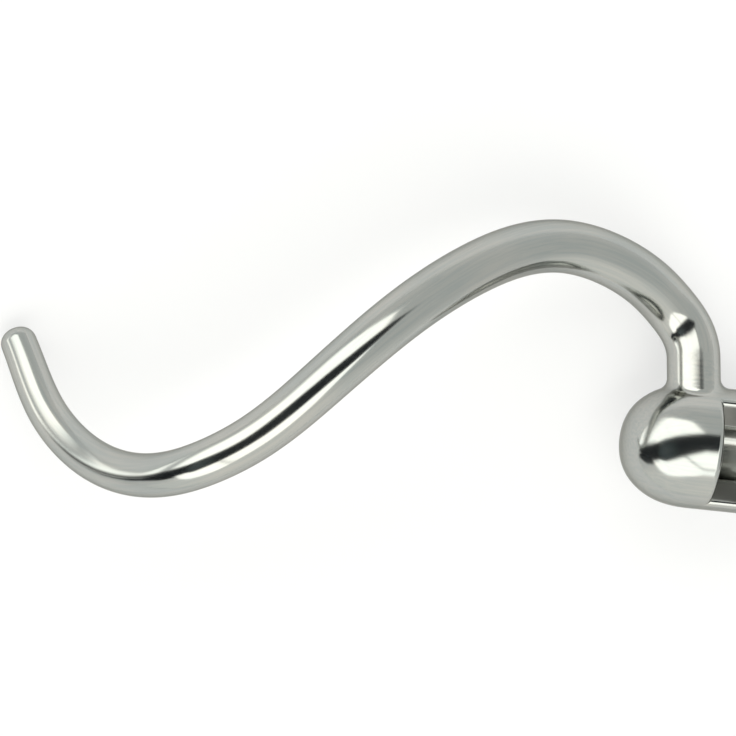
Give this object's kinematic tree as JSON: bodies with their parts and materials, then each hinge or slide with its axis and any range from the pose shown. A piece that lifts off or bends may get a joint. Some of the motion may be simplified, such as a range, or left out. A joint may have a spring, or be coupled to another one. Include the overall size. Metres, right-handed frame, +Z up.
{
  "type": "dough hook",
  "caption": "One-piece spiral dough hook for a stand mixer: a socketed hub with a bayonet slot and a round arm that thins to a blunt tip, mirror-polished steel.",
  "frame": {"origin": "middle of the bounding box on the table that the hook lies on", "axes": "+X along the drive shaft out of the hub's socket, +Y out to the arm's crown, +Z up from the table"},
  "size_m": [0.166, 0.0656, 0.0487],
  "materials": {
    "polished_steel": "mirror-polished stainless steel"
  },
  "bodies": {
    "root": {"dough_hook": "polished_steel"}
  },
  "joints": []
}
